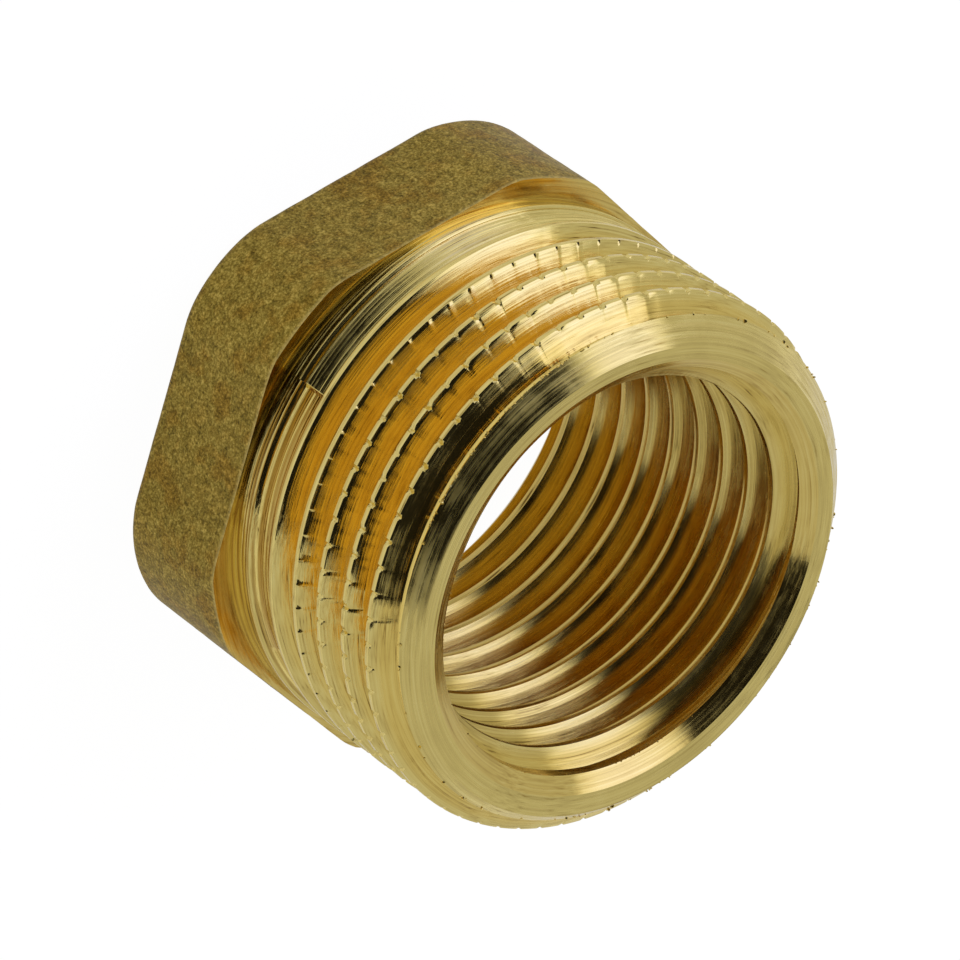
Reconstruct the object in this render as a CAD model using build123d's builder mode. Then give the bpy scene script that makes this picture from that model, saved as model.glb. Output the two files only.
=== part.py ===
import os
from math import ceil, radians, sqrt, tan

from build123d import *
from build123d.topology import SkipClean

# Sizes in millimetres. The part stands on the back of its hexagon, nose up, with the bore along Z.

# Hexagon, cast with broad rounded corners and worn back edges
across_flats = 27.0
corner_radius = 6.0
hex_height = 6.6
back_edge_radius = 0.5

# A shallow cone takes this much off the corners at the front
corner_ease = 0.26
ease_angle = 6.0

# Nose, turned to the crests of the outer thread
nose_length = 11.9
nose_diameter = 26.441
nose_chamfer = 1.6

# Bore, turned to the crests of the 1/2 inch inner thread
bore_diameter = 18.85
bore_chamfer = 1.43

# Outer thread, 3/4 inch, right-handed and parallel, 14 to the inch with 55 degree flanks
pitch = 25.4 / 14
flank_angle = 55 / 2
thread_depth = 1.162
root_width = 0.30

# The groove starts short of the hexagon, where the die opened, and runs out through the nose
thread_start_height = 8.27
thread_start_angle = 9.0

# How far the groove's cutter reaches past the crests
clearance = 0.15

corner_reach = across_flats / sqrt(3) - corner_radius * (2 / sqrt(3) - 1)
total_height = hex_height + nose_length
nose_radius = nose_diameter / 2
bore_radius = bore_diameter / 2

# One turn of the thread's groove: a V with a narrow flat root, swept along a helix
with BuildPart() as groove:
    with BuildLine():
        Helix(pitch, pitch, nose_radius)
    with BuildSketch(Plane.XZ):
        with BuildLine():
            root = nose_radius - thread_depth
            mouth = nose_radius + clearance
            half_root = root_width / 2
            half_mouth = half_root + (mouth - root) * tan(radians(flank_angle))
            Polyline((root, half_root), (mouth, half_mouth), (mouth, -half_mouth), (root, -half_root), close=True)
        make_face()
    sweep(is_frenet=True)

with BuildPart() as hex_bushing:
    # Hexagon, with a corner towards +X and its back edges round
    with BuildSketch():
        hexagon = RegularPolygon(across_flats / 2, 6, major_radius=False)
        fillet(hexagon.vertices(), corner_radius)
    extrude(amount=hex_height)
    fillet(hex_bushing.faces().sort_by(Axis.Z)[0].edges(), back_edge_radius)

    # Front corners, eased by the cone
    with BuildSketch(Plane.XZ):
        with BuildLine():
            front_reach = corner_reach - corner_ease
            outside = corner_reach + corner_ease
            ease_depth = (outside - front_reach) / tan(radians(ease_angle))
            Polyline((front_reach, hex_height), (outside, hex_height - ease_depth), (outside, hex_height), close=True)
        make_face()
    revolve(axis=Axis.Z, mode=Mode.SUBTRACT)

    with SkipClean():
        # Nose, turned in four quarters whose faces stay apart, so each turn of the crest is four short faces
        for quarter in range(4):
            with BuildSketch(Plane.XZ.rotated((0, 0, thread_start_angle + 90 * quarter))):
                with BuildLine():
                    Polyline(
                        (0, hex_height),
                        (nose_radius, hex_height),
                        (nose_radius, total_height - nose_chamfer),
                        (nose_radius - nose_chamfer, total_height),
                        (0, total_height),
                        close=True,
                    )
                make_face()
            revolve(axis=Axis.Z, revolution_arc=90, clean=False)

        # Bore, with the same chamfer at both mouths
        with BuildSketch(Plane.XZ):
            with BuildLine():
                Polyline(
                    (0, 0),
                    (bore_radius + bore_chamfer, 0),
                    (bore_radius, bore_chamfer),
                    (bore_radius, total_height - bore_chamfer),
                    (bore_radius + bore_chamfer, total_height),
                    (0, total_height),
                    close=True,
                )
            make_face()
        revolve(axis=Axis.Z, clean=False, mode=Mode.SUBTRACT)

        # Thread, cut a turn at a time until it has left the nose
        turns = ceil((total_height - thread_start_height) / pitch + 0.5)
        for turn in range(turns):
            with Locations(Location((0, 0, thread_start_height + turn * pitch), (0, 0, thread_start_angle))):
                add(groove.part, mode=Mode.SUBTRACT, clean=False)

hex_bushing.part.label = "hex_bushing"

os.makedirs("parts", exist_ok=True)
export_step(hex_bushing.part, "parts/hex_bushing.step")
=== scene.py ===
import math
import time

import bmesh
import bpy
import numpy as np
from mathutils import Matrix, Vector


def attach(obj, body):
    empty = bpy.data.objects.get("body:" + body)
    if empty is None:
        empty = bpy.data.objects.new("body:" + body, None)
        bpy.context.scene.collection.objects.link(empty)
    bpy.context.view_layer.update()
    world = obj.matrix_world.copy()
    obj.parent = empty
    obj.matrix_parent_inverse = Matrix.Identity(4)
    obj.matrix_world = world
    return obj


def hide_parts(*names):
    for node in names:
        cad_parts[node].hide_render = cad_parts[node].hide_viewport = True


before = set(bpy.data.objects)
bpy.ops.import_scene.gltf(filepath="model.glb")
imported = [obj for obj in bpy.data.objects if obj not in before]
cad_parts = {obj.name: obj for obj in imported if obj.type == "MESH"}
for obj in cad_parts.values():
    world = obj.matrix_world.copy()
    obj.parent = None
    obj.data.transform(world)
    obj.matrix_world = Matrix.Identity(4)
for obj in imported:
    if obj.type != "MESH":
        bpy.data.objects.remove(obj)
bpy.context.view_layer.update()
chance = np.random.default_rng(14)
began = time.time()

# Pieces are modelled in millimetres and made metres at the end
pitch = 25.4 / 14
flankAngle = math.radians(27.5)
flankSlope = math.tan(flankAngle)
weldGap = 1e-4             # vertices closer than this are merged


def report(text):
    print(f"{time.time() - began:6.1f} s  {text}")


def deselectAll():
    if bpy.context.object and bpy.context.object.mode != "OBJECT":
        bpy.ops.object.mode_set(mode="OBJECT")
    bpy.ops.object.select_all(action="DESELECT")


def makeActive(piece):
    deselectAll()
    piece.select_set(True)
    bpy.context.view_layer.objects.active = piece


def selectEdges(piece, wanted):
    bpy.ops.object.mode_set(mode="EDIT")
    bpy.ops.mesh.select_mode(type="EDGE")
    bpy.ops.mesh.select_all(action="DESELECT")
    bpy.ops.object.mode_set(mode="OBJECT")
    for edge in piece.data.edges:
        a, b = (piece.data.vertices[v].co for v in edge.vertices)
        edge.select = wanted(a, b)
    bpy.ops.object.mode_set(mode="EDIT")


def readCoords(piece):
    coords = np.empty(len(piece.data.vertices) * 3)
    piece.data.vertices.foreach_get("co", coords)
    return coords.reshape(-1, 3)


def writeCoords(piece, coords):
    piece.data.vertices.foreach_set("co", coords.ravel())
    piece.data.update()


def readFaces(piece, what):
    values = np.empty(len(piece.data.polygons) * 3)
    piece.data.polygons.foreach_get(what, values)
    return values.reshape(-1, 3)


def applyModifier(piece, name, kind, **settings):
    makeActive(piece)
    modifier = piece.modifiers.new(name, kind)
    for key, value in settings.items():
        setattr(modifier, key, value)
    bpy.ops.object.modifier_apply(modifier=name)


def combine(piece, other, operation):
    applyModifier(piece, "Cut", "BOOLEAN", operation=operation, object=other, solver="EXACT")
    bpy.data.objects.remove(other, do_unlink=True)


def drawProfile(name, points):
    # One vertex is drawn out along the points (radius, height), as with the extrude key
    deselectAll()
    bpy.ops.mesh.primitive_plane_add(size=1, location=(0, 0, 0))
    piece = bpy.context.object
    piece.name = piece.data.name = name
    bpy.ops.object.mode_set(mode="EDIT")
    bpy.ops.mesh.select_mode(type="VERT")
    bpy.ops.mesh.select_all(action="SELECT")
    bpy.ops.mesh.merge(type="CENTER")
    bpy.ops.transform.translate(value=(points[0][0], 0, points[0][1]))
    for here, there in zip(points, points[1:]):
        step = (there[0] - here[0], 0, there[1] - here[1])
        bpy.ops.mesh.extrude_vertices_move(TRANSFORM_OT_translate={"value": step})
    bpy.ops.object.mode_set(mode="OBJECT")
    return piece


def turnOnLathe(name, points, steps):
    piece = drawProfile(name, points)
    makeActive(piece)
    bpy.ops.object.mode_set(mode="EDIT")
    bpy.ops.mesh.select_all(action="SELECT")
    bpy.ops.mesh.spin(steps=steps, angle=2 * math.pi, center=(0, 0, 0), axis=(0, 0, 1))
    bpy.ops.mesh.select_all(action="SELECT")
    bpy.ops.mesh.remove_doubles(threshold=weldGap)
    bpy.ops.mesh.normals_make_consistent(inside=False)
    bpy.ops.object.mode_set(mode="OBJECT")
    return piece


def turnOutward(piece):
    makeActive(piece)
    bpy.ops.object.mode_set(mode="EDIT")
    bpy.ops.mesh.select_mode(type="VERT")
    bpy.ops.mesh.select_all(action="SELECT")
    bpy.ops.mesh.normals_make_consistent(inside=False)
    bpy.ops.object.mode_set(mode="OBJECT")
    # A long threaded rod can come out inside out, which its volume tells
    solid = bmesh.new()
    solid.from_mesh(piece.data)
    volume = solid.calc_volume(signed=True)
    solid.free()
    if volume < 0:
        bpy.ops.object.mode_set(mode="EDIT")
        bpy.ops.mesh.select_all(action="SELECT")
        bpy.ops.mesh.flip_normals()
        bpy.ops.object.mode_set(mode="OBJECT")


def grooveRows(sizes, crest, way):
    # One pitch of thread from mid crest to mid crest; way is -1 for a groove cut inwards, 1 outwards
    depth, rounding, lipRounding = sizes["depth"], sizes["rootRounding"], sizes["lipRounding"]
    flat = sizes["rootFlat"]
    tangent = rounding * math.cos(flankAngle)
    floor = rounding * (1 - math.sin(flankAngle))
    rootStep = tangent * 0.6
    lip = flat + tangent + (depth - floor) * flankSlope
    belowLip = lipRounding / flankSlope + 0.16       # a row on the flank, close under the lip
    half = [
        (0, depth),
        (flat + rootStep, depth - rounding + math.sqrt(rounding ** 2 - rootStep ** 2)),
        (flat + tangent, depth - floor),
        (lip - belowLip * flankSlope, belowLip),
        (lip - lipRounding, lipRounding / flankSlope),
        (lip + 0.1 * lipRounding, 0.24 * lipRounding),
        (lip + 0.9 * lipRounding, 0.0),
        (pitch / 2, 0.0),
    ]
    rows = [(-t, d) for t, d in reversed(half)] + half[1:]
    return [(crest + way * d, t) for t, d in rows]


def sweepThread(name, sizes, crest, way):
    rows = grooveRows(sizes, crest, way)
    base = sizes["start"] - sizes["turnsBelow"] * pitch
    rod = drawProfile(name, [(r, base + t) for r, t in rows])
    applyModifier(rod, "Sweep", "SCREW", axis="Z", angle=2 * math.pi, screw_offset=pitch,
                  steps=sizes["steps"], render_steps=sizes["steps"], iterations=sizes["turns"],
                  use_merge_vertices=False)
    makeActive(rod)
    bpy.ops.object.mode_set(mode="EDIT")
    bpy.ops.mesh.select_all(action="SELECT")
    bpy.ops.mesh.remove_doubles(threshold=weldGap)
    bpy.ops.object.mode_set(mode="OBJECT")
    coords = readCoords(rod)
    turn = math.radians(sizes["startAngle"])
    x, y = coords[:, 0].copy(), coords[:, 1].copy()
    coords[:, 0] = x * math.cos(turn) - y * math.sin(turn)
    coords[:, 1] = x * math.sin(turn) + y * math.cos(turn)
    writeCoords(rod, coords)
    return rod


def capEnds(rod, bottom, top):
    # The open helical ends are pulled straight down and up, flattened and filled
    for height in (bottom, top):
        makeActive(rod)
        bpy.ops.object.mode_set(mode="EDIT")
        bpy.ops.mesh.select_mode(type="EDGE")
        bpy.ops.mesh.select_all(action="DESELECT")
        bpy.ops.mesh.select_non_manifold(extend=False, use_wire=False, use_boundary=True,
                                         use_multi_face=False, use_non_contiguous=False,
                                         use_verts=False)
        bpy.ops.object.mode_set(mode="OBJECT")
        middle = readCoords(rod)[:, 2].mean()
        vertices = rod.data.vertices
        for vertex in vertices:
            vertex.select = False
        for edge in rod.data.edges:
            if edge.select:
                isUpper = sum(vertices[v].co.z for v in edge.vertices) / 2 > middle
                edge.select = isUpper == (height == top)
        for edge in rod.data.edges:
            if edge.select:
                for v in edge.vertices:
                    vertices[v].select = True
        bpy.ops.object.mode_set(mode="EDIT")
        bpy.ops.mesh.extrude_region_move(TRANSFORM_OT_translate={"value": (0, 0, 0)})
        bpy.ops.object.mode_set(mode="OBJECT")
        for vertex in rod.data.vertices:
            if vertex.select:
                vertex.co.z = height
        bpy.ops.object.mode_set(mode="EDIT")
        bpy.ops.mesh.edge_face_add()
        bpy.ops.object.mode_set(mode="OBJECT")
    turnOutward(rod)


# The hexagon, a six-sided block with its corners and back edges rounded
hexBody = {
    "acrossFlats": 27.0,
    "cornerRadius": 6.0,
    "cornerSteps": 20,
    "height": 6.6,
    "backRounding": 0.5,
    "backSteps": 6,
    "frontEase": 0.26,     # what a shallow cone takes off the corners at the front
    "easeSlope": math.tan(math.radians(6)),
    "skinGrid": 0.30,      # squares that the cast sides are cut into
    "swellDepth": 0.07,    # how far the cast skin sinks at most
    "swellSize": 1.6,
}
sharpReach = hexBody["acrossFlats"] / math.sqrt(3)
cornerSlope = math.tan(math.pi / 6)
deselectAll()
bpy.ops.mesh.primitive_cylinder_add(vertices=6, radius=sharpReach, depth=hexBody["height"],
                                    location=(0, 0, hexBody["height"] / 2), rotation=(0, 0, math.pi / 2))
bushing = bpy.context.object
bushing.name = bushing.data.name = "hexBushingSkin"
bpy.ops.object.transform_apply(location=True, rotation=True, scale=True)
selectEdges(bushing, lambda a, b: abs(a.z - b.z) > 1)
bpy.ops.mesh.bevel(offset=hexBody["cornerRadius"] * cornerSlope, segments=hexBody["cornerSteps"],
                   profile=0.5, affect="EDGES", clamp_overlap=False)
flatLength = (hexBody["acrossFlats"] - 2 * hexBody["cornerRadius"]) * cornerSlope
selectEdges(bushing, lambda a, b: abs(a.z - b.z) < 0.01 and (a - b).length > 3)
bpy.ops.mesh.subdivide(number_cuts=round(flatLength / hexBody["skinGrid"]))
selectEdges(bushing, lambda a, b: a.z < 0.01 and b.z < 0.01)
bpy.ops.mesh.bevel(offset=hexBody["backRounding"], segments=hexBody["backSteps"], profile=0.5,
                   affect="EDGES", clamp_overlap=False)
cutHeight = hexBody["backRounding"] + hexBody["skinGrid"]
while cutHeight < hexBody["height"] - 0.1:
    bpy.ops.mesh.select_all(action="SELECT")
    bpy.ops.mesh.bisect(plane_co=(0, 0, cutHeight), plane_no=(0, 0, 1))
    cutHeight += hexBody["skinGrid"]
bpy.ops.object.mode_set(mode="OBJECT")

# The swell moves the cast sides in and out but not up or down
castSkin = bushing.vertex_groups.new(name="castSkin")
coords = readCoords(bushing)
castSkin.add([int(i) for i in np.nonzero(coords[:, 2] > 0.001)[0]], 1.0, "REPLACE")
swell = bpy.data.textures.new("castSwell", "CLOUDS")
swell.noise_scale = hexBody["swellSize"]
swell.noise_depth = 3
flatHeights = coords[:, 2].copy()
applyModifier(bushing, "Swell", "DISPLACE", texture=swell, texture_coords="LOCAL",
              strength=hexBody["swellDepth"], mid_level=1.0, vertex_group="castSkin")
coords = readCoords(bushing)
coords[:, 2] = flatHeights
cornerReach = sharpReach - hexBody["cornerRadius"] * (2 / math.sqrt(3) - 1)
easedReach = cornerReach - hexBody["frontEase"] + (hexBody["height"] - coords[:, 2]) * hexBody["easeSlope"]
across = np.hypot(coords[:, 0], coords[:, 1])
coords[:, :2] *= np.minimum(1, easedReach / np.maximum(across, 1e-6))[:, None]
writeCoords(bushing, coords)
report(f"hexagon, {len(bushing.data.polygons)} faces")

# The nose: the outer thread on a rod, trimmed to the turned blank
nose = {
    "radius": 13.2205,
    "top": 18.5,
    "chamfer": 1.52,
    "offCentre": (-0.15, 0.115),       # the chamfer was turned a little off the thread's axis
    "buried": 6.0,         # the blank starts inside the hexagon
    "overcut": 0.5,        # how far the blank reaches past the crests
    "latheSteps": 360,
}
outerThread = {
    "depth": 1.162,
    "rootRounding": 0.249,
    "rootFlat": 0.02,
    "lipRounding": 0.05,
    "start": 8.27,         # height of the groove's middle where the die opened
    "startAngle": 9.0,
    "turnsBelow": 2,
    "turns": 9,
    "steps": 398,          # columns in a turn, six to a notch
    "ends": (0.0, 26.0),   # heights where the rod is capped
    "lead": 0.13,          # share of the depth that the die's lead cut before the start
    "leadTurns": 1.6,
    "firstCut": 0.33,      # share of the depth where the full teeth began
    "combCut": 0.125,      # share that each comb of the die added
    "combs": 6,
    "notchEvery": 5.434,   # degrees round the crest
    "notchPhase": 5.07,
    "notchDepth": 0.15,
    "notchFlank": 0.65,    # share of its depth at a notch's two sides
    "notchWidth": 0.12,    # half of it, as a share of the spacing
    "notchSpread": (0.7, 1.3),         # from the shallowest to the deepest
    "firstNotch": 1.85,    # turns of crest with no notches
    "notchFade": 0.3,      # turns over which they grow
    "firstBurr": 1.0,
    "burr": 0.05,
    "burrLean": math.radians(62.5),
}
rod = sweepThread("noseRod", outerThread, nose["radius"], -1)
coords = readCoords(rod)
radius = np.hypot(coords[:, 0], coords[:, 1])
angle = np.arctan2(coords[:, 1], coords[:, 0])
turnsUp = (coords[:, 2] - outerThread["start"]) / pitch
alongGroove = turnsUp - (angle / (2 * math.pi) - outerThread["startAngle"] / 360)
offset = (alongGroove - np.round(alongGroove)) * pitch          # from the groove's middle
grooveTurns = turnsUp - offset / pitch                          # turns from where the die opened
crestTurns = np.where(offset < 0, grooveTurns, grooveTurns + 1) - 0.5

# The die's lead leaves a shallow groove, then each comb cuts deeper than the last
comb = np.floor(grooveTurns * outerThread["combs"] + 0.001)
leadCut = outerThread["lead"] * np.clip(1 + comb / outerThread["combs"] / outerThread["leadTurns"], 0, 1)
fullCut = np.minimum(outerThread["firstCut"] + outerThread["combCut"] * comb, 1)
depthShare = np.where(comb < 0, leadCut, fullCut)
radius = np.maximum(radius, nose["radius"] - outerThread["depth"] * depthShare)

# Notches across the crest, six columns to each: three pairs are drawn together at a notch
notchTurns = (crestTurns * 360 - outerThread["notchPhase"]) / outerThread["notchEvery"]
fromNotch = notchTurns - np.round(notchTurns)
gap = np.abs(fromNotch)
width = outerThread["notchWidth"]
drawn = np.where(gap < 0.34, gap * 3 * width, width + (gap - 1 / 3) * (0.5 - width) * 6)
isNotched = np.clip((crestTurns - outerThread["firstNotch"]) / outerThread["notchFade"], 0, 1)
isBurred = (crestTurns > outerThread["firstBurr"]) * (1 - isNotched)
angle += (np.sign(fromNotch) * (drawn - gap) * math.radians(outerThread["notchEvery"])
          * np.maximum(isNotched, isBurred))
depthDraws = chance.uniform(*outerThread["notchSpread"], 4000)
rough = depthDraws[np.round(notchTurns).astype(int) % len(depthDraws)]
notch = (np.select([gap < 0.1, gap < 0.25], [1.0, outerThread["notchFlank"]], 0)
         * outerThread["notchDepth"] * rough * isNotched)
radius = np.minimum(radius, nose["radius"] - notch)

# Before the first notches the same teeth only threw up burrs on the side towards the nose
depthHere = nose["radius"] - radius
isLip = (offset < 0) * (depthHere > 0.005) * (depthHere < 0.2)
lump = (gap < 0.1) * isLip * isBurred * outerThread["burr"] * rough
radius += lump * math.cos(outerThread["burrLean"])
coords[:, 2] += lump * math.sin(outerThread["burrLean"])
coords[:, 0] = radius * np.cos(angle)
coords[:, 1] = radius * np.sin(angle)
writeCoords(rod, coords)
capEnds(rod, *outerThread["ends"])
report(f"outer thread, {len(rod.data.polygons)} faces")

blankRadius = nose["radius"] + nose["overcut"]
blank = turnOnLathe("noseBlank", [
    (0, nose["buried"]),
    (blankRadius, nose["buried"]),
    (blankRadius, nose["top"] - nose["chamfer"] - nose["overcut"]),
    (nose["radius"] - nose["chamfer"], nose["top"]),
    (0, nose["top"]),
], nose["latheSteps"])
makeActive(blank)
bpy.ops.transform.translate(value=(nose["offCentre"][0], nose["offCentre"][1], 0))
bpy.ops.object.transform_apply(location=True)
combine(rod, blank, "INTERSECT")
report(f"nose trimmed, {len(rod.data.polygons)} faces")
combine(bushing, rod, "UNION")
report(f"nose joined, {len(bushing.data.polygons)} faces")

# The bore: the inner thread and the chamfered mouths as one cutter
innerThread = {
    "crest": 9.425,
    "depth": 1.053,
    "rootRounding": 0.249,
    "rootFlat": 0.03,
    "lipRounding": 0.14,
    "start": -1.64,
    "startAngle": 0.0,
    "turnsBelow": 1,
    "turns": 14,
    "steps": 200,
    "ends": (-6.0, 26.0),
}
mouths = {
    "radius": 10.855,
    "core": 8.9,
    "reach": 1.0,          # how far the cutter passes both end faces
    "sinkRadius": 10.04,   # where the front countersink ends in a short wall
    "sinkSlope": math.tan(math.radians(30)),
    "wallFoot": (10.0, 17.4),
    "crestEnd": (9.425, 17.07),
    "crestRun": 0.4,
    "latheSteps": 240,
}
tap = sweepThread("boreTap", innerThread, innerThread["crest"], 1)
capEnds(tap, *innerThread["ends"])
cutterRadius = mouths["radius"] + mouths["reach"]
cutterTop = nose["top"] + mouths["reach"] * mouths["sinkSlope"]
sinkFoot = nose["top"] - (mouths["radius"] - mouths["sinkRadius"]) * mouths["sinkSlope"]
mouthCutter = turnOnLathe("mouthCutter", [
    (0, -mouths["reach"]),
    (cutterRadius, -mouths["reach"]),
    (mouths["core"], mouths["radius"] - mouths["core"]),
    (mouths["core"], mouths["crestEnd"][1] - mouths["crestRun"]),
    mouths["crestEnd"],
    mouths["wallFoot"],
    (mouths["sinkRadius"], sinkFoot),
    (cutterRadius, cutterTop),
    (0, cutterTop),
], mouths["latheSteps"])
combine(tap, mouthCutter, "UNION")
report(f"bore cutter, {len(tap.data.polygons)} faces")
combine(bushing, tap, "DIFFERENCE")
report(f"bore cut, {len(bushing.data.polygons)} faces")

# Shreds of metal where the last groove breaks out through the chamfer, and finer ones round the mouth
shredding = {
    "chips": 150,
    "mouthChips": 60,
    "size": 0.075,
    "mouthScale": 0.5,
    "sizeSpread": (0.6, 1.6),
    "scatter": 0.02,
    "worstAt": -0.15,      # radians, the middle of the stretch where most of them hang
    "worstReach": 0.45,
    "worstWeight": 6.0,
    "pastCone": 0.0995,    # faces further outside the chamfer than this are shreds
}
# On the chamfer radius and height always add up to this
coneSum = nose["radius"] - nose["chamfer"] + nose["top"]


def fromChamferAxis(coords):
    return np.hypot(coords[:, 0] - nose["offCentre"][0], coords[:, 1] - nose["offCentre"][1])


coords = readCoords(bushing)
radius = np.hypot(coords[:, 0], coords[:, 1])
onCone = np.abs(fromChamferAxis(coords) + coords[:, 2] - coneSum) < 0.002
coneSeam = coords[onCone & (coords[:, 2] < nose["top"] - 0.2) & (radius < nose["radius"] - 0.05)]
atSinkFoot = (np.abs(radius - mouths["sinkRadius"]) < 0.01) & (np.abs(coords[:, 2] - sinkFoot) < 0.01)
mouthSeam = coords[atSinkFoot]
fromWorst = np.abs(np.arctan2(coneSeam[:, 1], coneSeam[:, 0]) - shredding["worstAt"])
weights = np.where(fromWorst < shredding["worstReach"], shredding["worstWeight"], 1.0)
picked = chance.choice(len(coneSeam), shredding["chips"], replace=False, p=weights / weights.sum())
places = [(place, 1.0) for place in coneSeam[picked]]
picked = chance.choice(len(mouthSeam), shredding["mouthChips"], replace=False)
places += [(place, shredding["mouthScale"]) for place in mouthSeam[picked]]
shreds = []
for place, scale in places:
    size = shredding["size"] * chance.uniform(*shredding["sizeSpread"]) * scale
    spot = place + chance.normal(0, shredding["scatter"], 3)
    tumble = chance.uniform(0, 3, 3)
    squash = (1, chance.uniform(0.4, 1), 0.5)
    bpy.ops.mesh.primitive_ico_sphere_add(subdivisions=1, radius=size, location=spot, rotation=tumble,
                                          scale=squash)
    shreds.append(bpy.context.object)
deselectAll()
for shred in shreds:
    shred.select_set(True)
bushing.select_set(True)
bpy.context.view_layer.objects.active = bushing
bpy.ops.object.join()
report(f"shreds along the chamfer, {len(bushing.data.polygons)} faces")

makeActive(bushing)
bushing.scale = (0.001, 0.001, 0.001)
bpy.ops.object.transform_apply(scale=True)
bpy.ops.object.shade_smooth_by_angle(angle=math.radians(25))
applyModifier(bushing, "Shading", "WEIGHTED_NORMAL", weight=80, keep_sharp=True)


# Materials
def toLinear(hexColour):
    parts = [int(hexColour[i:i + 2], 16) / 255 for i in (1, 3, 5)]
    return [c / 12.92 if c <= 0.04045 else ((c + 0.055) / 1.055) ** 2.4 for c in parts] + [1.0]


def addNode(tree, kind, settings=None, values=None, links=None, stops=None):
    # values fill sockets by name or number, links join them to (node, output), stops fill a colour ramp
    node = tree.nodes.new(kind)
    for key, value in (settings or {}).items():
        setattr(node, key, value)
    for key, value in (values or {}).items():
        node.inputs[key].default_value = value
    for key, (source, output) in (links or {}).items():
        tree.links.new(source.outputs[output], node.inputs[key])
    if stops:
        elements = node.color_ramp.elements
        while len(elements) < len(stops):
            elements.new(0.5)
        for element, (place, colour) in zip(elements, stops):
            element.position = place
            element.color = toLinear(colour)
    return node


def startMaterial(name):
    material = bpy.data.materials.new(name)
    material.use_nodes = True
    tree = material.node_tree
    tree.nodes.clear()
    return material, tree


# Noise scales are cells in a metre, so 8000 is a grain of an eighth of a millimetre
castFinish = {
    "grain": 8000.0,
    "lumps": 2600.0,
    "lumpShare": 0.45,
    "patches": 620.0,
    # grain colours from pit to peak, which paint glints on the peaks and shade in the pits
    "grainAndGlintTones": [(0.48, "#5c4d18"), (0.73, "#a28b3a"), (0.98, "#e0c566")],
    "patchTones": [(0.36, "#f6e6cc"), (0.52, "#ffffff"), (0.68, "#fff8ee")],
    # colour of the cut burr at the front face, with a painted edge highlight
    "burrAndGlint": "#f0d888",
    "burrGlintBand": 0.22,    # millimetres under the turned front face
    "bump": 0.55,
    "bumpHeight": 0.06,
    "roughness": 0.5,
}


def castBrass():
    # Sand-cast brass, shot-blasted: olive and matt, with browner patches and a fine grain whose colour
    # runs dark in its pits and bright on its peaks: the grain's tone with painted shade and painted glints
    material, tree = startMaterial("castBrass")
    place = addNode(tree, "ShaderNodeTexCoord")
    grain = addNode(tree, "ShaderNodeTexNoise",
                    values={"Scale": castFinish["grain"], "Detail": 3.0, "Roughness": 0.7},
                    links={"Vector": (place, "Object")})
    lumps = addNode(tree, "ShaderNodeTexNoise",
                    values={"Scale": castFinish["lumps"], "Detail": 2.0, "Roughness": 0.6},
                    links={"Vector": (place, "Object")})
    mixed = addNode(tree, "ShaderNodeMath", {"operation": "MULTIPLY_ADD"}, {1: castFinish["lumpShare"]},
                    {0: (lumps, "Fac"), 2: (grain, "Fac")})
    # Colour follows the grain's bump height: painted glints on the peaks and painted shade in the pits
    colour = addNode(tree, "ShaderNodeValToRGB", links={0: (mixed, 0)}, stops=castFinish["grainAndGlintTones"])
    patches = addNode(tree, "ShaderNodeTexNoise",
                      values={"Scale": castFinish["patches"], "Detail": 3.0, "Roughness": 0.6},
                      links={"Vector": (place, "Object")})
    brown = addNode(tree, "ShaderNodeValToRGB", links={0: (patches, "Fac")}, stops=castFinish["patchTones"])
    patched = addNode(tree, "ShaderNodeMix", {"data_type": "RGBA", "blend_type": "MULTIPLY"}, {0: 1.0},
                      {6: (colour, "Color"), 7: (brown, "Color")})
    # The skin is painted bright along its edge at the turned front face, broken by the lumps: the bright cut
    # burr there, with a painted edge highlight
    apart = addNode(tree, "ShaderNodeSeparateXYZ", links={0: (place, "Object")})
    rim = addNode(tree, "ShaderNodeMapRange",
                  values={1: (hexBody["height"] - castFinish["burrGlintBand"]) / 1000,
                          2: hexBody["height"] / 1000},
                  links={0: (apart, 2)})
    burrAndGlint = addNode(tree, "ShaderNodeMath", {"operation": "MULTIPLY"},
                     links={0: (rim, 0), 1: (lumps, "Fac")})
    edged = addNode(tree, "ShaderNodeMix", {"data_type": "RGBA"}, {7: toLinear(castFinish["burrAndGlint"])},
                    {0: (burrAndGlint, 0), 6: (patched, 2)})
    bump = addNode(tree, "ShaderNodeBump",
                   values={"Strength": castFinish["bump"], "Distance": castFinish["bumpHeight"] / 1000},
                   links={"Height": (mixed, 0)})
    shader = addNode(tree, "ShaderNodeBsdfPrincipled",
                     values={"Metallic": 1.0, "Roughness": castFinish["roughness"]},
                     links={"Base Color": (edged, 2), "Normal": (bump, "Normal")})
    addNode(tree, "ShaderNodeOutputMaterial", links={"Surface": (shader, "BSDF")})
    return material


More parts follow.
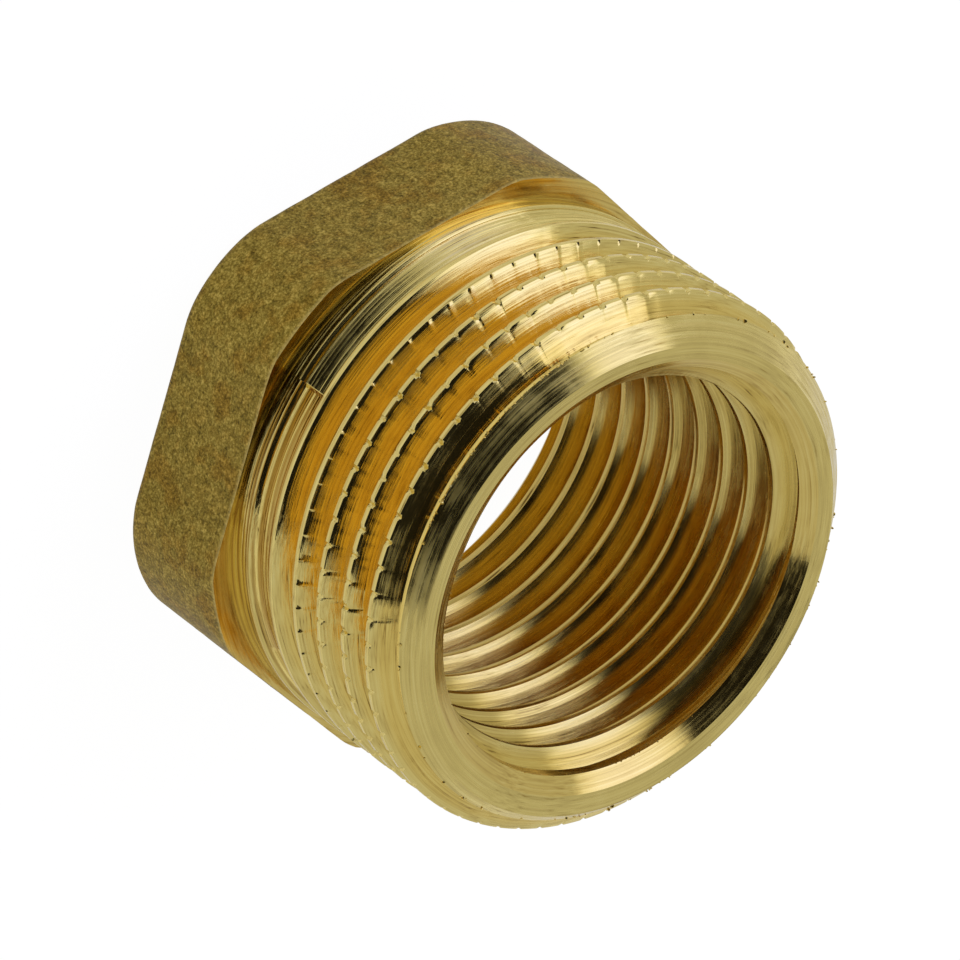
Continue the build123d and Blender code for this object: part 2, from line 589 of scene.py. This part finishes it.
# What all the cut finishes share
toolMarks = {
    "drift": 110.0,        # slow waves that the lines follow
    "driftReach": 0.0015,
    "stains": 420.0,
    "stainShare": 0.35,
    "places": (0.40, 0.52, 0.70, 0.95),    # where a finish's four colours stand on the ramp
    "bright": 0.45,        # the scratches' range from bright to dull
    "dull": 0.75,
    "anisotropy": 0.8,
}
turnedFace = {
    "line": 0.13,          # millimetres from one tool line to the next
    "lineDepth": 0.004,
    "roughness": 0.14,
    "scratched": 0.55,     # roughness of the dull lines
    "colours": ("#b59a4e", "#d8c274", "#ead480", "#f5e292"),
}
shoulderCut = {
    "line": 0.13,
    "lineDepth": 0.0025,
    "roughness": 0.10,
    "scratched": 0.34,
    "colours": ("#b39445", "#d3b766", "#e8cd76", "#f3dd8c"),
}
noseCut = {
    "line": 0.12,
    "lineDepth": 0.010,
    "roughness": 0.10,
    "scratched": 0.45,
    "colours": ("#7d6026", "#dcc473", "#efd984", "#f7e696"),
    "crestHeight": 0.06,   # height of a crest's middle at angle 0
    "tintFrom": nose["radius"] - 0.10,
    "tintTo": nose["radius"] - 0.60,
    # painted bounce light deep in the groove, and painted shade on the flank facing down
    "deepBounceTint": "#fff7e1",
    "undersideShadeTint": "#ffe4a0",
    "runOut": {
        "top": 8.95,       # height at angle 0 where the ridges stop
        "above": 0.25,     # they fade out between these two distances from it
        "below": 0.05,
        "from": 0.145,     # radians, the start of the full teeth
        "to": 2.8,
        "rise": 0.15,      # over how much of the radius they begin
        "grain": 5500.0,
        "drift": 0.15,     # share of the slow waves that they follow
        "ridge": 0.075,    # height of the coarse ridges
        "lean": 1.25,      # how far the turn before the start leans back
        "leanSpan": 1.75,
        # the range of the coarse noise coloured browner in the hollows between the ridges, and that colour
        "browned": (0.58, 0.42),
        "hollowTint": "#b3924c",
    },
}
boreCut = {
    "line": 0.12,
    "lineDepth": 0.005,
    "roughness": 0.17,
    "scratched": 0.36,
    "colours": ("#7d6026", "#d2b968", "#e6cd7a", "#efdc8c"),
    "crestHeight": 1.08,
    "tintFrom": innerThread["crest"] + 0.10,
    "tintTo": innerThread["crest"] + 0.60,
    # painted bounce light deep in the groove, and painted shade on the flank facing down
    "deepBounceTint": "#fcf6dc",
    "undersideShadeTint": "#fff0c0",
}


def followThread(tree, apart, crestHeight):
    # Height less the thread's climb, and the same wrapped to one pitch
    turn = addNode(tree, "ShaderNodeMath", {"operation": "ARCTAN2"}, links={0: (apart, 1), 1: (apart, 0)})
    climbed = addNode(tree, "ShaderNodeMath", {"operation": "MULTIPLY_ADD"},
                      {1: -pitch / 2000 / math.pi}, {0: (turn, 0), 2: (apart, 2)})
    low = crestHeight / 1000
    wrapped = addNode(tree, "ShaderNodeMath", {"operation": "WRAP"}, {1: low + pitch / 1000, 2: low},
                      {0: (climbed, 0)})
    return {"turn": (turn, 0), "climbed": (climbed, 0), "height": (wrapped, 0)}


def paintGrooveBounce(tree, at, finish, shade):
    # Painted bounce light: the groove is painted more orange deeper down, as light thrown from flank to flank
    # colours it, and more still on the flank facing down towards the hexagon, a painted shade
    deep = addNode(tree, "ShaderNodeMapRange", {"interpolation_type": "SMOOTHSTEP"},
                   {1: finish["tintFrom"] / 1000, 2: finish["tintTo"] / 1000}, {0: at["radius"]})
    deepShade = addNode(tree, "ShaderNodeMix", {"data_type": "RGBA", "blend_type": "MULTIPLY"},
                        {7: toLinear(finish["deepBounceTint"])}, {0: (deep, 0), 6: shade})
    surface = addNode(tree, "ShaderNodeNewGeometry")
    facing = addNode(tree, "ShaderNodeSeparateXYZ", links={0: (surface, "True Normal")})
    under = addNode(tree, "ShaderNodeMapRange", values={1: -0.1, 2: -0.5}, links={0: (facing, 2)})
    underShade = addNode(tree, "ShaderNodeMix", {"data_type": "RGBA", "blend_type": "MULTIPLY"},
                         {7: toLinear(finish["undersideShadeTint"])}, {0: (under, 0), 6: (deepShade, 2)})
    return underShade, 2


def maskBy(tree, source, masks):
    for mask in masks:
        source = (addNode(tree, "ShaderNodeMath", {"operation": "MULTIPLY"},
                          links={0: source, 1: (mask, 0)}), 0)
    return source


def tearRunOut(tree, at, finish, shade, bump):
    # Beside the hexagon the die's lead left coarse ridges, leaning to the nose before the start
    # of the full teeth
    runOut = finish["runOut"]
    beside = addNode(tree, "ShaderNodeMapRange",
                     values={1: (runOut["top"] + runOut["above"]) / 1000,
                             2: (runOut["top"] - runOut["below"]) / 1000},
                     links={0: at["climbed"]})
    fade = addNode(tree, "ShaderNodeMapRange", values={1: runOut["from"], 2: runOut["to"], 3: 1.0, 4: 0.0},
                   links={0: at["turn"]})
    outer = addNode(tree, "ShaderNodeMapRange",
                    values={1: finish["tintTo"] / 1000, 2: (finish["tintTo"] + runOut["rise"]) / 1000},
                    links={0: at["radius"]})
    slower = addNode(tree, "ShaderNodeMath", {"operation": "MULTIPLY"}, {1: runOut["drift"]},
                     {0: at["drift"]})
    straight = addNode(tree, "ShaderNodeCombineXYZ",
                       links={0: at["radius"], 1: (slower, 0), 2: at["height"]})
    coarse = addNode(tree, "ShaderNodeTexNoise",
                     values={"Scale": runOut["grain"], "Detail": 1.0, "Roughness": 0.5},
                     links={"Vector": (straight, 0)})
    ridge = addNode(tree, "ShaderNodeMath", {"operation": "MULTIPLY"}, {1: runOut["ridge"]},
                    {0: (coarse, "Fac")})
    ridges = maskBy(tree, (ridge, 0), (beside, fade, outer))
    fall = addNode(tree, "ShaderNodeMapRange",
                   values={1: (runOut["top"] - runOut["leanSpan"]) / 1000, 2: runOut["top"] / 1000,
                           3: runOut["lean"], 4: 0.0},
                   links={0: at["climbed"]})
    before = addNode(tree, "ShaderNodeMath", {"operation": "LESS_THAN"}, {1: runOut["from"]},
                     {0: at["turn"]})
    lean = addNode(tree, "ShaderNodeMath", {"operation": "MULTIPLY_ADD"},
                   links={0: (fall, 0), 1: (before, 0), 2: ridges})
    # Past the start the hollows between the ridges are coloured browner
    hollows = addNode(tree, "ShaderNodeMapRange", values={1: runOut["browned"][0], 2: runOut["browned"][1]},
                   links={0: (coarse, "Fac")})
    past = addNode(tree, "ShaderNodeMath", {"operation": "GREATER_THAN"}, {1: runOut["from"]},
                   {0: at["turn"]})
    browned = maskBy(tree, (hollows, 0), (beside, fade, outer, past))
    brownedShade = addNode(tree, "ShaderNodeMix", {"data_type": "RGBA", "blend_type": "MULTIPLY"},
                        {7: toLinear(runOut["hollowTint"])}, {0: browned, 6: shade})
    ridged = addNode(tree, "ShaderNodeBump", values={"Strength": 1.0, "Distance": 0.001},
                     links={"Height": (lean, 0), "Normal": (bump, "Normal")})
    return (brownedShade, 2), ridged


def turnedBrass(name, finish):
    # Turned brass, soft and bright: fine tool lines run round the axis, or along the thread
    # where there is one
    material, tree = startMaterial(name)
    place = addNode(tree, "ShaderNodeTexCoord")
    apart = addNode(tree, "ShaderNodeSeparateXYZ", links={0: (place, "Object")})
    flat = addNode(tree, "ShaderNodeCombineXYZ", links={0: (apart, 0), 1: (apart, 1)})
    fromAxis = addNode(tree, "ShaderNodeVectorMath", {"operation": "LENGTH"}, links={0: (flat, 0)})
    at = {"radius": (fromAxis, "Value"), "height": (apart, 2)}
    if "crestHeight" in finish:
        at.update(followThread(tree, apart, finish["crestHeight"]))
    drift = addNode(tree, "ShaderNodeTexNoise", values={"Scale": toolMarks["drift"], "Detail": 1.0},
                    links={"Vector": (place, "Object")})
    slow = addNode(tree, "ShaderNodeMath", {"operation": "MULTIPLY"}, {1: toolMarks["driftReach"]},
                   {0: (drift, "Fac")})
    at["drift"] = (slow, 0)
    along = addNode(tree, "ShaderNodeCombineXYZ", links={0: at["radius"], 1: at["drift"], 2: at["height"]})
    lines = addNode(tree, "ShaderNodeTexNoise",
                    values={"Scale": 1000 / finish["line"], "Detail": 2.0, "Roughness": 0.7},
                    links={"Vector": (along, 0)})
    stains = addNode(tree, "ShaderNodeTexNoise",
                     values={"Scale": toolMarks["stains"], "Detail": 4.0, "Roughness": 0.6},
                     links={"Vector": (place, "Object")})
    mixed = addNode(tree, "ShaderNodeMath", {"operation": "MULTIPLY_ADD"}, {1: toolMarks["stainShare"]},
                    {0: (stains, "Fac"), 2: (lines, "Fac")})
    colour = addNode(tree, "ShaderNodeValToRGB", links={0: (mixed, 0)},
                     stops=list(zip(toolMarks["places"], finish["colours"])))
    shade = (colour, "Color")
    # Painted bounce light and painted shade in the thread's groove
    if "crestHeight" in finish:
        shade = paintGrooveBounce(tree, at, finish, shade)
    # The scratches are coarser than the lines, and the stains dull them
    scratches = addNode(tree, "ShaderNodeTexNoise",
                        values={"Scale": 700 / finish["line"], "Detail": 3.0, "Roughness": 0.8},
                        links={"Vector": (along, 0)})
    stained = addNode(tree, "ShaderNodeMath", {"operation": "MULTIPLY_ADD"}, {1: 0.5, 2: -0.25},
                      {0: (stains, "Fac")})
    uneven = addNode(tree, "ShaderNodeMath", {"operation": "ADD"},
                     links={0: (stained, 0), 1: (scratches, "Fac")})
    bump = addNode(tree, "ShaderNodeBump", values={"Strength": 1.0, "Distance": finish["lineDepth"] / 1000},
                   links={"Height": (lines, "Fac")})
    if "runOut" in finish:
        shade, bump = tearRunOut(tree, at, finish, shade, bump)
    matt = addNode(tree, "ShaderNodeMapRange",
                   values={1: toolMarks["bright"], 2: toolMarks["dull"],
                           3: finish["roughness"], 4: finish["scratched"]},
                   links={0: (uneven, 0)})
    # The grain of the lathe runs round the axis, so a highlight spreads across it
    grain = addNode(tree, "ShaderNodeVectorMath", {"operation": "CROSS_PRODUCT"}, {0: (0, 0, 1)},
                    {1: (place, "Object")})
    shader = addNode(tree, "ShaderNodeBsdfPrincipled",
                     values={"Metallic": 1.0, "Anisotropic": toolMarks["anisotropy"],
                             "Anisotropic Rotation": 0.25},
                     links={"Base Color": shade, "Roughness": (matt, 0), "Normal": (bump, "Normal"),
                            "Tangent": (grain, 0)})
    addNode(tree, "ShaderNodeOutputMaterial", links={"Surface": (shader, "BSDF")})
    return material


skins = {
    "cast": castBrass(),
    "face": turnedBrass("turnedFaceBrass", turnedFace),
    "noseThread": turnedBrass("noseThreadBrass", noseCut),
    "boreThread": turnedBrass("boreThreadBrass", boreCut),
    "shoulder": turnedBrass("shoulderBrass", shoulderCut),
}
slotOf = {name: number for number, name in enumerate(skins)}
bushing.data.materials.clear()
for material in skins.values():
    bushing.data.materials.append(material)

# Each face takes the finish of the surface that its middle lies on
onSurface = 0.03
onEndFace = 0.02
centres = readFaces(bushing, "center") * 1000
facing = readFaces(bushing, "normal")
radius = np.hypot(centres[:, 0], centres[:, 1])
height = centres[:, 2]
coneHere = fromChamferAxis(centres) + height
fromBackMouth = np.abs(radius - mouths["radius"] + height)
fromSink = np.abs((radius - mouths["radius"]) * mouths["sinkSlope"] + nose["top"] - height)
isShred = coneHere > coneSum + shredding["pastCone"]
slots = np.full(len(centres), slotOf["cast"], dtype=np.int32)
slots[(radius < nose["radius"] + 0.05) & (height > hexBody["height"] - 0.01)] = slotOf["noseThread"]
slots[radius < innerThread["crest"] + innerThread["depth"] + 0.05] = slotOf["boreThread"]
slots[(np.abs(coneHere - coneSum) < onSurface) | (fromBackMouth < onSurface) | isShred] = slotOf["face"]
slots[(fromSink < onSurface) & (radius < mouths["radius"])] = slotOf["shoulder"]
for faceHeight, name in ((0, "face"), (hexBody["height"], "shoulder"), (nose["top"], "face")):
    slots[(np.abs(height - faceHeight) < onEndFace) & (np.abs(facing[:, 2]) > 0.9)] = slotOf[name]
bushing.data.polygons.foreach_set("material_index", slots)
bushing.data.update()

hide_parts("hex_bushing")
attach(bushing, "root")
report("materials")

# Floor, lights and camera
studio = {
    "ambient": 0.55,       # what the metal and the shadows see of the pale room
    "floorSize": 3,
    "floorDrop": 0.00003,  # metres below the back face, so the two never flicker
    "floorForMetal": 0.45,
    "floorShare": 0.90,    # the floor's share of plain white, the rest takes the shadow
    "floorGlow": 1.08,
    "aim": 0.012,          # height that the cards face
    "cardDistance": 0.42,
    "cardFade": 1.6,
}
shot = {
    "lens": 309.04,
    "place": (0.276633, 0.014849, 0.261482),
    "turn": (-32.3088, -36.928, -130.5076),
}
# polar is degrees away from the lens and clock degrees round it from the right;
# width and height are the degrees that a card spans round the lens and away from it
cards = {
    "blackCloth": {"polar": 13, "clock": -36, "width": 84.6, "height": 84.6},
    "keySoftbox": {"polar": 62, "clock": 17, "width": 62, "height": 34, "level": 2.15},
    "topSoftbox": {"polar": 68, "clock": 70, "width": 40, "height": 34, "level": 1.2},
}


def paleFloor():
    # Matt white table that keeps a faint shadow; metal sees it as part of the pale room
    material, tree = startMaterial("paleFloor")
    path = addNode(tree, "ShaderNodeLightPath")
    byMetal = addNode(tree, "ShaderNodeMath", {"operation": "MULTIPLY"}, {1: studio["floorForMetal"]},
                      {0: (path, "Is Glossy Ray")})
    byCamera = addNode(tree, "ShaderNodeMath", {"operation": "MULTIPLY_ADD"}, {1: studio["floorShare"]},
                       {0: (path, "Is Camera Ray"), 2: (byMetal, 0)})
    matt = addNode(tree, "ShaderNodeBsdfDiffuse", values={"Color": toLinear("#f7f7f5")})
    glow = addNode(tree, "ShaderNodeEmission",
                   values={"Color": toLinear("#ffffff"), "Strength": studio["floorGlow"]})
    mixed = addNode(tree, "ShaderNodeMixShader", links={0: (byCamera, 0), 1: (matt, 0), 2: (glow, 0)})
    addNode(tree, "ShaderNodeOutputMaterial", links={"Surface": (mixed, 0)})
    return material


def blackCloth(name):
    # Dull black cloth, which gives the metal its dark bands
    material, tree = startMaterial(name)
    shader = addNode(tree, "ShaderNodeBsdfDiffuse", values={"Color": toLinear("#2e2c2a")})
    addNode(tree, "ShaderNodeOutputMaterial", links={"Surface": (shader, 0)})
    return material


def softbox(name, level):
    # Cool white diffuser, brightest in the middle and fading into the room towards its edges
    material, tree = startMaterial(name)
    place = addNode(tree, "ShaderNodeTexCoord")
    centred = addNode(tree, "ShaderNodeVectorMath", {"operation": "MULTIPLY_ADD"},
                      {1: (2, 2, 0), 2: (-1, -1, 0)}, {0: (place, "UV")})
    apart = addNode(tree, "ShaderNodeSeparateXYZ", links={0: (centred, 0)})
    rest = []
    for side in (0, 1):
        square = addNode(tree, "ShaderNodeMath", {"operation": "MULTIPLY"},
                         links={0: (apart, side), 1: (apart, side)})
        fade = addNode(tree, "ShaderNodeMath", {"operation": "POWER"}, {1: studio["cardFade"]},
                       {0: (square, 0)})
        rest.append(addNode(tree, "ShaderNodeMath", {"operation": "SUBTRACT"}, {0: 1.0}, {1: (fade, 0)}))
    glow = addNode(tree, "ShaderNodeMath", {"operation": "MULTIPLY"},
                   links={0: (rest[0], 0), 1: (rest[1], 0)})
    strength = addNode(tree, "ShaderNodeMath", {"operation": "MULTIPLY_ADD"},
                       {1: level - studio["ambient"], 2: studio["ambient"]}, {0: (glow, 0)})
    tone = addNode(tree, "ShaderNodeMix", {"data_type": "RGBA"},
                   {6: toLinear("#ffffff"), 7: toLinear("#c6caff")}, {0: (glow, 0)})
    shader = addNode(tree, "ShaderNodeEmission", links={"Color": (tone, 2), "Strength": (strength, 0)})
    addNode(tree, "ShaderNodeOutputMaterial", links={"Surface": (shader, 0)})
    return material


def hangCard(name, spec, eye):
    # A softbox is square and has a level, the cloth is round; both face the object
    tilt, turn = math.radians(spec["polar"]), math.radians(spec["clock"])
    outward = eye @ Vector((math.sin(tilt) * math.cos(turn), math.sin(tilt) * math.sin(turn), math.cos(tilt)))
    around = eye @ Vector((-math.sin(turn), math.cos(turn), 0))
    faced = Matrix((around, outward.cross(around), outward)).transposed().to_euler()
    spot = outward * studio["cardDistance"] + Vector((0, 0, studio["aim"]))
    deselectAll()
    if "level" in spec:
        bpy.ops.mesh.primitive_plane_add(size=2, location=spot, rotation=faced)
        material = softbox(name, spec["level"])
    else:
        bpy.ops.mesh.primitive_circle_add(vertices=96, radius=1, fill_type="NGON", location=spot,
                                          rotation=faced)
        material = blackCloth(name)
    card = bpy.context.object
    card.name = name
    halfWidth, halfHeight = (studio["cardDistance"] * math.tan(math.radians(spec[span] / 2))
                             for span in ("width", "height"))
    card.scale = (halfWidth, halfHeight, 1)
    bpy.ops.object.transform_apply(location=False, rotation=False, scale=True)
    card.data.materials.append(material)
    card.visible_camera = False


deselectAll()
bpy.ops.mesh.primitive_plane_add(size=studio["floorSize"], location=(0, 0, -studio["floorDrop"]))
floor = bpy.context.object
floor.name = "floor"
floor.data.materials.append(paleFloor())

# The camera sees a white backdrop, everything else the dimmer room
world = bpy.data.worlds.new("studio")
bpy.context.scene.world = world
world.use_nodes = True
world.node_tree.nodes.clear()
path = addNode(world.node_tree, "ShaderNodeLightPath")
room = addNode(world.node_tree, "ShaderNodeBackground",
               values={"Color": toLinear("#ffffff"), "Strength": studio["ambient"]})
backdrop = addNode(world.node_tree, "ShaderNodeBackground",
                   values={"Color": toLinear("#ffffff"), "Strength": 1.0})
mixed = addNode(world.node_tree, "ShaderNodeMixShader",
                links={0: (path, "Is Camera Ray"), 1: (room, 0), 2: (backdrop, 0)})
addNode(world.node_tree, "ShaderNodeOutputWorld", links={"Surface": (mixed, 0)})

cameraData = bpy.data.cameras.new("camera")
cameraData.lens = shot["lens"]
cameraData.sensor_width = 36
cameraData.clip_start = 0.01
camera = bpy.data.objects.new("camera", cameraData)
bpy.context.scene.collection.objects.link(camera)
camera.location = shot["place"]
camera.rotation_euler = [math.radians(v) for v in shot["turn"]]
bpy.context.scene.camera = camera
bpy.context.view_layer.update()
for name, spec in cards.items():
    hangCard(name, spec, camera.matrix_world.to_3x3())

bpy.context.scene.view_settings.view_transform = "Standard"
report("studio")
